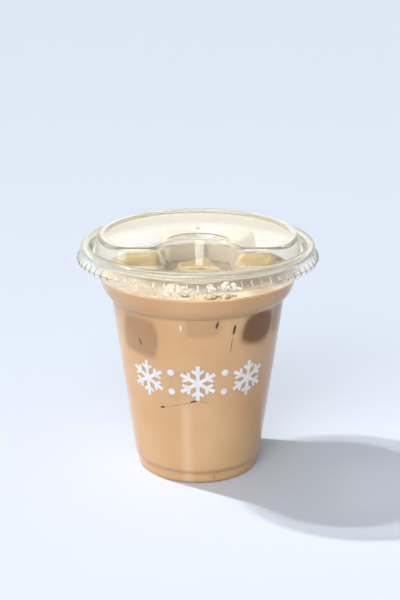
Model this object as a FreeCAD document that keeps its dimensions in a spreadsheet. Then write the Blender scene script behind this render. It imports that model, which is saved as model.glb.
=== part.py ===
import FreeCAD, Part
import math
import os

from FreeCAD import Placement, Rotation, Vector
from Sketcher import Constraint

# An iced coffee in a clear takeaway cup with a moulded sip lid.
#
# The origin is at the middle of the ring that the cup stands on, +Z is up, and the
# mouth recess of the lid faces -Y. Lengths are in millimetres, angles in degrees.

SIZES = (
    # cup, all radii measured on the outside
    ("cup_height", 100.0, "top of the rolled rim above the table"),
    ("cup_wall", 0.45, "thickness of the cup's sheet"),
    ("rim_radius", 48.85, "outside of the rolled rim"),
    ("curl_radius", 1.6, "half the thickness of the rolled rim"),
    ("foot_radius", 26.1, "upright band that the cup stands on"),
    ("foot_height", 4.4, "height of that band"),
    ("foot_edge", 1.0, "rounding of its lower edge"),
    ("foot_lean", 0.4, "how far the band opens over its height"),
    ("ring_width", 2.4, "width of the ring that touches the table"),
    ("push_up", 2.6, "hollow under the floor of the cup"),
    ("heel_step", 0.9, "ledge between the band and the body"),
    ("heel_height", 6.2, "lower end of the straight body"),
    ("shoulder_radius", 36.8, "upper end of the straight body"),
    ("shoulder_height", 77.0, "height of the shoulder"),
    ("flare_radius", 40.7, "outer end of the rounded shoulder"),
    ("flare_rise", 5.6, "height of the rounded shoulder"),
    ("flare_bend", 11.0, "radius of the rounded shoulder"),
    # drink and ice
    ("drink_level", 86.4, "surface of the drink above the table"),
    ("fill_gap", 0.04, "room left between the drink and the cup"),
    ("ice_side", 18.0, "edge of a cube of ice"),
    ("ice_round", 2.2, "rounding of its edges by melting"),
    ("ice_draft", 3.0, "slope of its sides from the ice tray"),
    # lid
    ("lid_wall", 0.45, "thickness of the lid's sheet"),
    ("snap_gap", 0.1, "room between the rolled rim and the lid's bead"),
    ("plug_gap", 0.3, "room between the cup and the lid's inner wall"),
    ("floor_drop", 3.0, "lid floor below the top of the cup"),
    ("skirt_flare", 1.95, "widest part of the skirt beyond the rolled rim"),
    ("skirt_pinch", 0.25, "groove under the bead that snaps below the rim"),
    ("skirt_drop", 7.3, "lower edge of the skirt below the top of the cup"),
    ("skirt_hem", 1.7, "height of the part that turns in again"),
    ("rib_height", 0.35, "how far a rib of the skirt stands out"),
    ("rib_width", 1.5, "width of a rib at its root"),
    ("plateau_rise", 7.0, "raised top above the lid floor"),
    ("plateau_gap", 0.9, "groove between the raised top and the inner wall"),
    ("plateau_draft", 12.0, "slope of the walls of the raised top"),
    ("mouth_room", 17.8, "from the cup's inner wall to the raised top, at the lip recess"),
    ("corner_round", 11.0, "rounding of the two front corners"),
    ("edge_round", 1.3, "rounding along the upper edge"),
    ("border_width", 2.8, "raised border round the top"),
    ("border_height", 0.8, "height of that border"),
    ("niche_offset", 3.0, "middle of the lip recess in front of the wall"),
    ("niche_top", 18.0, "radius of the lip recess at the raised top"),
    ("niche_floor", 12.0, "radius of the lip recess at its floor"),
    ("niche_sink", 2.5, "its floor below the lid floor"),
    ("niche_round", 4.0, "rounding where it opens to the front"),
    ("dish_radius", 13.0, "radius of the shallow dish behind the lip"),
    ("dish_offset", 11.7, "middle of the dish in front of the axis"),
    ("dish_depth", 1.8, "depth of the dish"),
    ("sip_length", 7.0, "length of the sip slot"),
    ("sip_width", 4.6, "width of the sip slot"),
    ("sip_round", 2.0, "rounding of its corners"),
    ("sip_setback", 2.8, "slot in front of the foot of the recess"),
    ("vent_radius", 0.8, "air hole in the raised top"),
    ("vent_offset", 9.0, "air hole behind the axis"),
)
RIB_COUNT = 72
# how deep a rib is set in the sheet, as a share of the sheet, and how much of its height is
# left at its upper and at its lower end
RIB_ROOT = 0.6
RIB_FADE = 0.4
RIB_HEM = 0.5
# a rib stops this share of the curl below the groove, and twice that of the hem above it
RIB_INSET = 0.2
# a tool for a cut starts this many times further out than what it cuts
CLEAR = 2
# the edges of the lip recess lie within this many of its radii from its middle
MOUTH_REACH = 1.2

doc = FreeCAD.newDocument("iced_coffee")
sheet = doc.addObject("Spreadsheet::Sheet", "Sizes")
for row, (alias, number, note) in enumerate(SIZES, start=1):
    sheet.set(f"A{row}", alias)
    sheet.set(f"B{row}", str(number))
    sheet.set(f"C{row}", note)
    sheet.setAlias(f"B{row}", alias)
doc.recompute()


class Size:
    """A length that knows its present value and the sheet formula behind it."""

    def __init__(self, value, formula):
        self.value = value
        self.formula = formula

    def combine(self, other, sign, value):
        text = other.formula if isinstance(other, Size) else repr(float(other))
        return Size(value, f"({self.formula} {sign} {text})")

    def __add__(self, other):
        return self.combine(other, "+", self.value + number_of(other))

    def __sub__(self, other):
        return self.combine(other, "-", self.value - number_of(other))

    def __mul__(self, other):
        return self.combine(other, "*", self.value * number_of(other))

    def __truediv__(self, other):
        return self.combine(other, "/", self.value / number_of(other))

    def __neg__(self):
        return Size(-self.value, f"(0 - {self.formula})")


def number_of(size):
    return size.value if isinstance(size, Size) else float(size)


def named(alias):
    return Size(float(getattr(sheet, alias)), f"Sizes.{alias}")


def slope(angle):
    return Size(math.tan(math.radians(angle.value)), f"tan({angle.formula} * 1 deg)")


def root(size):
    return Size(math.sqrt(size.value), f"sqrt({size.formula})")


def bind(owner, path, size):
    owner.setExpression(path, size.formula)


NOTHING = Size(0.0, "0")
(cup_height, cup_wall, rim_radius, curl_radius, foot_radius, foot_height, foot_edge, foot_lean,
 ring_width, push_up, heel_step, heel_height, shoulder_radius, shoulder_height, flare_radius,
 flare_rise, flare_bend, drink_level, fill_gap, ice_side, ice_round, ice_draft, lid_wall, snap_gap,
 plug_gap, floor_drop, skirt_flare, skirt_pinch, skirt_drop, skirt_hem, rib_height, rib_width,
 plateau_rise, plateau_gap, plateau_draft, mouth_room, corner_round, edge_round, border_width,
 border_height, niche_offset, niche_top, niche_floor, niche_sink, niche_round, dish_radius,
 dish_offset, dish_depth, sip_length, sip_width, sip_round, sip_setback, vent_radius,
 vent_offset) = [named(alias) for alias, _, _ in SIZES]


# ---------------------------------------------------------------- sketch helpers

def plane_of(body, role):
    return next(part for part in body.Origin.OriginFeatures if part.Role == role)


def attach(sketch, body, role, height=None):
    """Lay a sketch on one of its body's own planes, moved along the normal by height."""
    sketch.AttachmentSupport = (plane_of(body, role), "")
    sketch.MapMode = "FlatFace"
    if height is not None:
        bind(sketch, "AttachmentOffset.Base.z", height)


def pin(sketch, geometry, end, across, up):
    """Hold one end of a sketch line or arc at a place given by two sizes."""
    for kind, size in (("DistanceX", across), ("DistanceY", up)):
        index = sketch.addConstraint(Constraint(kind, -1, 1, geometry, end, size.value))
        if size is not NOTHING:
            sketch.setExpression(f"Constraints[{index}]", size.formula)


def bent(start, stop, radius, turn):
    """An arc of less than half a circle, which sketches always hold anticlockwise."""
    chord = stop - start
    half = chord.Length / 2
    side = Vector(-chord.y, chord.x, 0).normalize() * turn
    middle = (start + stop) / 2 - side * math.sqrt(max(radius ** 2 - half ** 2, 0.0))
    first, last = (stop, start) if turn > 0 else (start, stop)
    angles = [math.atan2(point.y - middle.y, point.x - middle.x) for point in (first, last)]
    if angles[1] < angles[0]:
        angles[1] += 2 * math.pi
    return Part.ArcOfCircle(Part.Circle(middle, Vector(0, 0, 1), radius), *angles)


def outline(body, name, role, path, height=None):
    """A closed sketch. Each step of the path is (across, up), or (across, up, radius, turn)
    for an arc that ends there and bulges to the left (turn 1) or right (turn -1)."""
    sketch = body.newObject("Sketcher::SketchObject", name)
    attach(sketch, body, role, height)
    ends = []
    for index, step in enumerate(path):
        last = path[index - 1]
        start = Vector(last[0].value, last[1].value, 0)
        stop = Vector(step[0].value, step[1].value, 0)
        if len(step) == 2:
            sketch.addGeometry(Part.LineSegment(start, stop), False)
            ends.append((1, 2))
        else:
            radius, turn = step[2], step[3]
            sketch.addGeometry(bent(start, stop, radius.value, turn), False)
            ends.append((2, 1) if turn > 0 else (1, 2))
    for index, step in enumerate(path):
        after = (index + 1) % len(path)
        sketch.addConstraint(Constraint("Coincident", index, ends[index][1], after, ends[after][0]))
        pin(sketch, index, ends[index][1], step[0], step[1])
        if len(step) == 4:
            place = sketch.addConstraint(Constraint("Radius", index, step[2].value))
            sketch.setExpression(f"Constraints[{place}]", step[2].formula)
    return sketch


def circle(body, name, radius, height, offset=None):
    """A round sketch on a level plane, its middle on the Y axis."""
    sketch = body.newObject("Sketcher::SketchObject", name)
    attach(sketch, body, "XY_Plane", height)
    middle = offset if offset is not None else NOTHING
    sketch.addGeometry(Part.Circle(Vector(0, middle.value, 0), Vector(0, 0, 1), radius.value), False)
    pin(sketch, 0, 3, NOTHING, middle)
    place = sketch.addConstraint(Constraint("Radius", 0, radius.value))
    sketch.setExpression(f"Constraints[{place}]", radius.formula)
    return sketch


def spin(body, name, sketch, cut=False):
    kind = "PartDesign::Groove" if cut else "PartDesign::Revolution"
    turned = body.newObject(kind, name)
    turned.Profile = sketch
    turned.ReferenceAxis = (sketch, ["V_Axis"])
    turned.Angle = 360
    return turned


def new_body(name):
    body = doc.addObject("PartDesign::Body", name)
    body.Label = name
    return body


def check(*items):
    """Stop if a feature failed or its solid is empty or broken."""
    doc.recompute()
    for item in items:
        if "Invalid" in item.State or "Error" in item.State:
            raise RuntimeError(f"{item.Label} failed: {item.getStatusString()}")
        if item.Shape.isNull() or not item.Shape.isValid():
            raise RuntimeError(f"{item.Label} has no sound shape")


# ---------------------------------------------------------------- cup
# One thin sheet turned about the axis: a ring to stand on, an upright band, a ledge,
# the straight body, the rounded shoulder, the flared band and the rolled rim.

rim_middle = rim_radius - curl_radius
rim_level = cup_height - curl_radius
neck_radius = rim_middle - curl_radius + cup_wall
curl_inside = curl_radius - cup_wall
foot_top = foot_radius + foot_lean
flare_height = shoulder_height + flare_rise
body_bottom = foot_top + heel_step


def inside_at(level):
    """Inner radius of the flared band at a level."""
    share = (level - flare_height) / (rim_level - flare_height)
    return flare_radius - cup_wall + (rim_middle - curl_radius - flare_radius + cup_wall) * share


def inside_path(gap):
    """Inner face of the cup from the middle of its floor to the top of the shoulder."""
    floor_edge = foot_radius - foot_edge - ring_width + cup_wall / 2
    return (
        (NOTHING, push_up + cup_wall + gap),
        (floor_edge - push_up / 2 + gap, push_up + cup_wall + gap),
        (floor_edge + gap, cup_wall + gap),
        (foot_radius - foot_edge - gap, cup_wall + gap),
        (foot_radius - cup_wall - gap, foot_edge + gap),
        (foot_top - cup_wall - gap, foot_height),
        (body_bottom - cup_wall - gap, heel_height),
        (shoulder_radius - cup_wall - gap, shoulder_height),
        (flare_radius - cup_wall - gap, flare_height, flare_bend + cup_wall, -1),
    )


def backwards(path):
    """The same line walked the other way, its arcs turned to match."""
    steps = []
    for index in range(len(path) - 1, -1, -1):
        came_by = path[index + 1][2:] if index + 1 < len(path) else ()
        arc = (came_by[0], -came_by[1]) if came_by else ()
        steps.append(path[index][:2] + arc)
    return tuple(steps)


def make_cup():
    body = new_body("cup")
    ring_outer = foot_radius - foot_edge
    ring_inner = ring_outer - ring_width
    path = (
        (NOTHING, push_up),
        (ring_inner - push_up / 2, push_up),
        (ring_inner, NOTHING),
        (ring_outer, NOTHING),
        (foot_radius, foot_edge, foot_edge, -1),
        (foot_top, foot_height),
        (body_bottom, heel_height),
        (shoulder_radius, shoulder_height),
        (flare_radius, flare_height, flare_bend, -1),
        (neck_radius, rim_level),
        (rim_middle, rim_level + curl_inside, curl_inside, 1),
        (rim_middle + curl_inside, rim_level, curl_inside, 1),
        (rim_middle, rim_level - curl_inside, curl_inside, 1),
        (rim_middle, rim_level - curl_radius),
        (rim_radius, rim_level, curl_radius, -1),
        (rim_middle, cup_height, curl_radius, -1),
        (rim_middle - curl_radius, rim_level, curl_radius, -1),
    ) + backwards(inside_path(NOTHING))
    spin(body, "cup_sheet", outline(body, "cup_profile", "XZ_Plane", path))
    check(body)
    return body


# ---------------------------------------------------------------- drink and ice

def make_filling():
    """The inside of the cup up to the drink's level, before the ice is cut out."""
    body = new_body("filling")
    path = inside_path(fill_gap) + (
        (inside_at(drink_level) - fill_gap, drink_level),
        (NOTHING, drink_level),
    )
    spin(body, "filling_turned", outline(body, "filling_profile", "XZ_Plane", path))
    check(body)
    return body


# a cube whose face looks at the wall reaches this share of its edge from its middle
CORNER_SHARE = 0.66

# name, bearing from +X in degrees, distance of the middle from the axis as a share of the
# room there is, top corner above the drink as a share of the edge, yaw, tilt, lean
CUBES = (
    ("ice_left", 166.0, 1.0, 0.34, 3.0, 4.0, -5.0),
    ("ice_rear_left", 109.0, 1.0, 0.60, -4.0, -5.0, 4.0),
    ("ice_rear_right", 53.0, 1.0, 0.64, 5.0, -6.0, -4.0),
    ("ice_right", -5.0, 1.0, 0.40, -4.0, -4.0, 6.0),
    ("ice_middle", -90.0, 0.16, 0.26, 20.0, 4.0, 5.0),
)


def make_cube(name, bearing, reach, proud, yaw, tilt, lean):
    body = new_body(name)
    sketch = body.newObject("Sketcher::SketchObject", name + "_square")
    half = ice_side / 2
    attach(sketch, body, "XY_Plane", -half)
    corners = ((-half, -half), (half, -half), (half, half), (-half, half))
    for index, corner in enumerate(corners):
        last = corners[index - 1]
        ends = [Vector(across.value, up.value, 0) for across, up in (last, corner)]
        sketch.addGeometry(Part.LineSegment(*ends), False)
    for index, corner in enumerate(corners):
        sketch.addConstraint(Constraint("Coincident", index, 2, (index + 1) % len(corners), 1))
        pin(sketch, index, 2, *corner)
    pad = body.newObject("PartDesign::Pad", name + "_block")
    pad.Profile = sketch
    bind(pad, "Length", ice_side)
    bind(pad, "TaperAngle", -ice_draft)
    doc.recompute()
    melt = body.newObject("PartDesign::Fillet", name + "_melt")
    melt.Base = (pad, [f"Edge{number + 1}" for number in range(len(pad.Shape.Edges))])
    bind(melt, "Radius", ice_round)
    room = shoulder_radius.value - cup_wall.value - ice_side.value * CORNER_SHARE
    angle = math.radians(bearing)
    middle = Vector(math.cos(angle), math.sin(angle), 0) * (room * reach)
    middle.z = drink_level.value + ice_side.value * (proud - 0.5)
    turn = Rotation(yaw + bearing, tilt, lean)
    body.Placement = Placement(middle, turn)
    check(body)
    return body


# ---------------------------------------------------------------- lid
# The raised top is formed twice, as the outer face and, one sheet further in, as the inner
# face. The lid's top is what lies between the two.

lid_floor = cup_height - floor_drop
plateau_top = lid_floor + plateau_rise
plug_radius = inside_at(lid_floor - lid_wall) - plug_gap
plateau_foot = plug_radius - lid_wall - plateau_gap
plateau_slope = slope(plateau_draft)
niche_bottom = lid_floor - niche_sink
form_base = niche_bottom - niche_sink
front_wall = inside_at(niche_bottom - lid_wall) - mouth_room
niche_middle = front_wall + niche_offset
skirt_radius = rim_radius + skirt_flare


def edges_where(shape, test):
    """Names of the edges whose middle point passes the test."""
    names = []
    for number, edge in enumerate(shape.Edges, start=1):
        first, last = edge.ParameterRange
        if test(edge, edge.valueAt((first + last) / 2)):
            names.append(f"Edge{number}")
    return names


def round_edges(body, name, before, names, radius):
    rounded = body.newObject("PartDesign::Fillet", name)
    rounded.Base = (before, names)
    bind(rounded, "Radius", radius)
    doc.recompute()
    return rounded


def make_form(name, inset):
    """The raised top as a full solid, everything moved inwards by inset."""
    body = new_body(name)
    top = plateau_top - inset
    deck = top - border_height if inset is not NOTHING else top
    rise = deck - form_base
    foot = plateau_foot + (lid_floor - form_base) * plateau_slope - inset
    shrink = rise * plateau_slope
    path = (
        (NOTHING, form_base),
        (foot, form_base),
        (foot - shrink, deck),
        (NOTHING, deck),
    )
    block = spin(body, name + "_block", outline(body, name + "_side", "XZ_Plane", path))
    check(block)

    front = front_wall - inset
    low = front + (lid_floor - form_base) * plateau_slope
    high = low - (rise + inset + border_height) * plateau_slope
    beyond = rim_radius * CLEAR
    cut_top = form_base + rise + inset + border_height
    path = (
        (-low, form_base),
        (-high, cut_top),
        (-beyond, cut_top),
        (-beyond, form_base),
    )
    slab = outline(body, name + "_front_side", "YZ_Plane", path)
    slice_off = body.newObject("PartDesign::Pocket", name + "_front")
    slice_off.Profile = slab
    slice_off.Type = "ThroughAll"
    slice_off.Midplane = True
    check(slice_off)

    def is_corner(edge, middle):
        rising = abs(edge.Vertexes[0].Z - edge.Vertexes[-1].Z) > plateau_rise.value / 2
        return rising and middle.y < 0 and abs(middle.x) > niche_top.value / 2

    corners = round_edges(body, name + "_corners", slice_off,
                          edges_where(slice_off.Shape, is_corner), corner_round - inset)
    check(corners)

    disc = body.newObject("PartDesign::Pad", name + "_floor")
    reach = plug_radius if inset is NOTHING else plug_radius + lid_wall
    disc.Profile = circle(body, name + "_round", reach, form_base)
    bind(disc, "Length", lid_floor - inset - form_base)
    check(disc)

    lean = (niche_top - niche_floor) / (plateau_top - niche_bottom)
    over = niche_top + lean * plateau_rise + inset
    bottom = niche_bottom - inset
    path = (
        (NOTHING, bottom),
        (niche_floor + inset, bottom),
        (over, plateau_top + plateau_rise),
        (NOTHING, plateau_top + plateau_rise),
    )
    cone = outline(body, name + "_niche_side", "XZ_Plane", path)
    bind(cone, "AttachmentOffset.Base.z", niche_middle)
    niche = spin(body, name + "_niche", cone, cut=True)
    check(niche)

    def is_mouth(edge, middle):
        rising = abs(edge.Vertexes[0].Z - edge.Vertexes[-1].Z) > plateau_rise.value / 2
        near = math.hypot(middle.x, middle.y + niche_middle.value) < niche_top.value * MOUTH_REACH
        return rising and near and abs(middle.x) > niche_floor.value / 2

    mouth = round_edges(body, name + "_mouth", niche,
                        edges_where(niche.Shape, is_mouth), niche_round - inset)
    check(mouth)

    def is_upper(edge, middle):
        return abs(middle.z - deck.value) < 1e-3 and edge.BoundBox.ZLength < 1e-3

    upper = round_edges(body, name + "_upper", mouth,
                        edges_where(mouth.Shape, is_upper), edge_round - inset)
    check(upper)

    dish_bottom = plateau_top - border_height - dish_depth - inset
    dish_reach = dish_radius + inset
    dish = outline(body, name + "_dish_plan", "XY_Plane",
                   crescent(dish_reach, niche_top + border_width - inset), dish_bottom)
    sink = body.newObject("PartDesign::Pocket", name + "_dish")
    sink.Profile = dish
    bind(sink, "Length", plateau_rise)
    sink.Reversed = True
    check(sink)

    if inset is NOTHING:
        recess = body.newObject("PartDesign::Pocket", name + "_recess")
        recess.Profile = outline(body, name + "_recess_plan", "XY_Plane",
                                 inner_field(), plateau_top - border_height)
        bind(recess, "Length", plateau_rise)
        recess.Reversed = True
        check(recess)
    return body


def crescent(reach, lip):
    """Plan of the dish: behind the border of the lip recess, inside the dish's own circle."""
    apart = niche_middle - dish_offset
    along = (lip * lip - reach * reach + apart * apart) / (apart * 2)
    wide = root(lip * lip - along * along)
    meet = along - niche_middle
    return (
        (-wide, meet, lip, -1),
        (NOTHING, reach - dish_offset, reach, 1),
        (wide, meet, reach, 1),
    )


def inner_field():
    """Plan of the flat field inside the raised border."""
    field = plateau_foot - plateau_rise * plateau_slope - border_width
    front = front_wall - plateau_rise * plateau_slope - border_width
    lip = niche_top + border_width
    corner = root(field * field - front * front)
    ahead = niche_middle - front
    notch = root(lip * lip - ahead * ahead)
    return (
        (corner, -front),
        (NOTHING, field, field, -1),
        (-corner, -front, field, -1),
        (-notch, -front),
        (notch, -front, lip, 1),
    )


def make_rim_sheet():
    """The lid outside its floor: inner wall, bead over the rolled rim, and snap skirt."""
    body = new_body("rim_sheet")
    bead_inside = curl_radius + snap_gap
    bead_outside = bead_inside + lid_wall
    bead_level = rim_level - snap_gap
    bead_inner = rim_middle - bead_outside
    skirt_foot = cup_height - skirt_drop
    skirt_waist = skirt_foot + skirt_hem
    bead_edge = rim_middle + bead_outside
    pinch_level = bead_level - curl_radius
    path = (
        (plug_radius - lid_wall, lid_floor - lid_wall),
        (plug_radius, lid_floor - lid_wall),
        (rim_middle - bead_inside, bead_level),
        (rim_middle, bead_level + bead_inside, bead_inside, 1),
        (rim_middle + bead_inside, bead_level, bead_inside, 1),
        (bead_edge - skirt_pinch - lid_wall, pinch_level),
        (skirt_radius - lid_wall, skirt_waist),
        (skirt_radius - skirt_pinch - lid_wall, skirt_foot),
        (skirt_radius - skirt_pinch, skirt_foot),
        (skirt_radius, skirt_waist),
        (bead_edge - skirt_pinch, pinch_level),
        (bead_edge, bead_level),
        (rim_middle, bead_level + bead_outside, bead_outside, -1),
        (bead_inner, bead_level, bead_outside, -1),
        (plug_radius - lid_wall, lid_floor),
    )
    spin(body, "rim_sheet_turned", outline(body, "rim_sheet_profile", "XZ_Plane", path))
    check(body)
    return body


def make_ribs():
    """Upright ribs round the skirt: one wedge, repeated about the axis."""
    skirt_foot = cup_height - skirt_drop
    skirt_waist = skirt_foot + skirt_hem
    pinch_level = rim_level - snap_gap - curl_radius
    bead_edge = rim_middle + curl_radius + snap_gap + lid_wall
    top = pinch_level.value - curl_radius.value * RIB_INSET
    sheet_slope = (skirt_radius - bead_edge + skirt_pinch) / (pinch_level - skirt_waist)
    top_radius = skirt_radius.value - sheet_slope.value * (top - skirt_waist.value)
    root_depth = lid_wall.value * RIB_ROOT
    half = rib_width.value / 2

    def wedge(radius, level, height):
        points = [Vector(radius - root_depth, -half, level),
                  Vector(radius + height, 0, level),
                  Vector(radius - root_depth, half, level)]
        return Part.makePolygon(points + points[:1])

    lower = wedge(skirt_radius.value, skirt_waist.value, rib_height.value)
    upper = wedge(top_radius, top, rib_height.value * RIB_FADE)
    hem_share = RIB_INSET * CLEAR
    hem_radius = skirt_radius.value - skirt_pinch.value * (1 - hem_share)
    hem_level = skirt_foot.value + skirt_hem.value * hem_share
    hem = wedge(hem_radius, hem_level, rib_height.value * RIB_HEM)
    rib = Part.makeLoft([hem, lower, upper], True, True)
    turns = [rib.rotated(Vector(0, 0, 0), Vector(0, 0, 1), 360.0 * number / RIB_COUNT)
             for number in range(RIB_COUNT)]
    ribs = doc.addObject("Part::Feature", "skirt_ribs")
    ribs.Shape = Part.makeCompound(turns)
    return ribs


def make_slot():
    """The sip slot: a bar with rounded corners through the floor of the lip recess."""
    body = new_body("sip_slot")
    half = sip_length / 2
    near = niche_middle - niche_floor + sip_setback
    far = near + sip_width
    path = ((half, -far), (half, -near), (-half, -near), (-half, -far))
    bar = body.newObject("PartDesign::Pad", "sip_slot_bar")
    bar.Profile = outline(body, "sip_slot_plan", "XY_Plane", path, niche_bottom - plateau_rise)
    bind(bar, "Length", plateau_rise * CLEAR)
    check(bar)

    def is_upright(edge, middle):
        return edge.BoundBox.ZLength > plateau_rise.value

    corners = edges_where(bar.Shape, is_upright)
    check(round_edges(body, "sip_slot_corners", bar, corners, sip_round))
    return body


def make_vent():
    vent = doc.addObject("Part::Cylinder", "vent")
    bind(vent, "Radius", vent_radius)
    bind(vent, "Height", plateau_rise)
    bind(vent, "Placement.Base.y", vent_offset)
    bind(vent, "Placement.Base.z", lid_floor + plateau_rise / 2)
    return vent


def joined(kind, name, base, tool):
    result = doc.addObject(kind, name)
    result.Base = base
    result.Tool = tool
    check(result)
    return result


def make_lid():
    outer = make_form("lid_outside", NOTHING)
    inner = make_form("lid_inside", lid_wall)
    deep = joined("Part::Cut", "lid_shell", outer, make_undercut(inner))
    whole = joined("Part::Fuse", "lid_sheet", deep, make_rim_sheet())
    ribbed = joined("Part::Fuse", "lid_ribbed", whole, make_ribs())
    sipping = joined("Part::Cut", "lid_sipping", ribbed, make_slot())
    lid = joined("Part::Cut", "lid_sheet_open", sipping, make_vent())
    lid.Label = "lid"
    return lid


def make_undercut(inner):
    """The inner form, carried further down so that it leaves no skin below the lid."""
    skirting = doc.addObject("Part::Cylinder", "undercut")
    bind(skirting, "Radius", plug_radius + lid_wall)
    bind(skirting, "Height", niche_sink + lid_wall)
    bind(skirting, "Placement.Base.z", form_base - niche_sink)
    return joined("Part::Fuse", "lid_core", inner, skirting)


# ---------------------------------------------------------------- the whole

cup = make_cup()
cubes = [make_cube(*cube) for cube in CUBES]
filling = make_filling()
ice = doc.addObject("Part::MultiFuse", "all_ice")
ice.Shapes = cubes
drink = joined("Part::Cut", "drink_cut", filling, ice)
drink.Label = "drink"
lid = make_lid()
parts = [cup, drink, lid] + cubes

for item in doc.Objects:
    if "Invalid" in item.State or "Error" in item.State:
        raise RuntimeError(f"{item.Label} failed")

os.makedirs("parts", exist_ok=True)
for item in parts:
    check(item)
    if len(item.Shape.Solids) != 1:
        raise RuntimeError(f"{item.Label} is {len(item.Shape.Solids)} solids")
    item.Shape.exportStep(f"parts/{item.Label}.step")
    box = item.Shape.BoundBox
    print(f"{item.Label}: {item.Shape.Volume / 1000:.2f} cm3, "
          f"x {box.XMin:.1f}..{box.XMax:.1f}, y {box.YMin:.1f}..{box.YMax:.1f}, "
          f"z {box.ZMin:.1f}..{box.ZMax:.1f}")
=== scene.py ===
# %% [markdown]
# # An iced mocha in a clear takeaway cup
#
# Milky coffee with ice fills a thin clear cup, and a clear lid with a recess for the lip is
# snapped onto its rim. The solids come from CAD: cup, lid, drink and five floating cubes. Cup
# and lid are kept as they are and only get a finish. Drink and cubes could be kept too, but
# CAD edges look too clean for a liquid and for melting ice, so softer bodies replace them.

# %% Load the solids
import math
import random

import bmesh
import bpy
from mathutils import Euler, Matrix, Vector, noise
from mathutils.bvhtree import BVHTree


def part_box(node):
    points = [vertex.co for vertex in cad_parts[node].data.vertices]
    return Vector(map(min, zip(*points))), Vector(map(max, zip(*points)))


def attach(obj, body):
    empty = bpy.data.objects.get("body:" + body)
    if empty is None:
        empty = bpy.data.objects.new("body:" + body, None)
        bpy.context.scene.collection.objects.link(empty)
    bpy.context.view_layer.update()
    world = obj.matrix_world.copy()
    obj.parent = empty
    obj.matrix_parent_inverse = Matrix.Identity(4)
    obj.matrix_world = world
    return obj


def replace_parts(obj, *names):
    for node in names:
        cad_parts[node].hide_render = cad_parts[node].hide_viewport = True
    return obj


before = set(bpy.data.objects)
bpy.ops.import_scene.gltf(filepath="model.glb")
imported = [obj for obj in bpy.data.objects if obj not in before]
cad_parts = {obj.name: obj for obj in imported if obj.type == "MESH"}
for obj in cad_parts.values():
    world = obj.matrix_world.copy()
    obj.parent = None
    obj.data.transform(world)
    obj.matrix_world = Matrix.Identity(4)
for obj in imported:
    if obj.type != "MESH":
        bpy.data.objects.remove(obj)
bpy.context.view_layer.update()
MM = 0.001
print("solids:", sorted(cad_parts))

# %% [markdown]
# ## The sizes of the cup
#
# The drink lies against the inside of the cup, so its shape follows the same heights and
# radii: a ring to stand on, a band, a ledge, the straight body, a rounded shoulder and a
# flared band. They could be read off the cup's mesh, but its triangles come in no useful
# order. A short list of the corners of the inner face is easier to spin, and it also tells
# how wide the cup is at any level.

# %% Inner face of the cup
FLOOR_EDGE = 22.925 * MM
FLOOR_LEVEL = 3.05 * MM
RING_LEVEL = 0.45 * MM
INNER_FACE = [
    Vector((0, FLOOR_LEVEL)),
    Vector((FLOOR_EDGE - 1.3 * MM, FLOOR_LEVEL)),
    Vector((FLOOR_EDGE, RING_LEVEL)),
    Vector((25.1 * MM, RING_LEVEL)),
    Vector((25.65 * MM, 1.0 * MM)),
    Vector((26.05 * MM, 4.4 * MM)),
    Vector((26.95 * MM, 6.2 * MM)),
    Vector((36.35 * MM, 77.0 * MM)),
]
SHOULDER_END = Vector((40.25 * MM, 82.6 * MM))
SHOULDER_BEND = 11.45 * MM
RIM_END = Vector((45.65 * MM, 98.4 * MM))
DRINK_LEVEL = 86.4 * MM
print("inner radius in mm from", round(INNER_FACE[2].x / MM, 1), "to", round(RIM_END.x / MM, 1))

# %% [markdown]
# ## Shoulder and slope
#
# The shoulder is an arc that swells outwards. Its middle could be looked up in a drawing, but
# two ends and a radius fix it, so a small helper works it out. Between the corners the wall is
# straight, and its radius at a level follows from the two nearest ones.

# %% Measure along the wall
def bow(start, end, radius, steps):
    """Points of an arc from start to end that swells away from the axis."""
    chord = end - start
    side = Vector((-chord.y, chord.x)).normalized()
    middle = (start + end) / 2 + side * math.sqrt(radius ** 2 - (chord.length / 2) ** 2)
    first = (start - middle).angle_signed((end - middle))
    return [middle + Matrix.Rotation(-first * step / steps, 2) @ (start - middle)
            for step in range(1, steps + 1)]


def wall_radius(level):
    """Inner radius of the cup's lower band, straight body or flared band at a level."""
    if level > SHOULDER_END.y:
        share = (level - SHOULDER_END.y) / (RIM_END.y - SHOULDER_END.y)
        return SHOULDER_END.x + (RIM_END.x - SHOULDER_END.x) * share
    low, high = INNER_FACE[-2:] if level > INNER_FACE[-2].y else INNER_FACE[-4:-2]
    return low.x + (high.x - low.x) * (level - low.y) / (high.y - low.y)


shoulder = bow(INNER_FACE[-1], SHOULDER_END, SHOULDER_BEND, 8)
print("shoulder ends at", [round(value / MM, 2) for value in shoulder[-1]])

# %% [markdown]
# ## Turning a profile
#
# The filling of a round cup is round too. It could be a cylinder that is pushed into shape
# ring by ring, but it is simpler to spin its outline once about the axis. The outline is first
# cut into short steps, so that the turned skin has small even faces, and each of its points
# can carry a shade of its own later.

# %% Spin a line of points
TURNS = 240


def short_steps(line, step):
    """The same line with points added, so that none are further apart than about a step."""
    points = [line[0]]
    for start, end in zip(line, line[1:]):
        count = max(1, round((end - start).length / step))
        points += [start.lerp(end, number / count) for number in range(1, count + 1)]
    return points


def turned(line):
    """A closed skin: the line of (radius, height) points spun about the Z axis."""
    skin = bmesh.new()
    ring = [skin.verts.new((point.x, 0, point.y)) for point in line]
    edges = [skin.edges.new(pair) for pair in zip(ring, ring[1:])]
    bmesh.ops.spin(skin, geom=ring + edges, cent=(0, 0, 0), axis=(0, 0, 1),
                   angle=math.tau, steps=TURNS, use_merge=True)
    bmesh.ops.remove_doubles(skin, verts=skin.verts, dist=0.01 * MM)
    bmesh.ops.recalc_face_normals(skin, faces=skin.faces)
    return skin


print("turned bodies have", TURNS, "sides, each at most",
      round(math.tau * RIM_END.x / TURNS / MM, 2), "mm wide")

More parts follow.
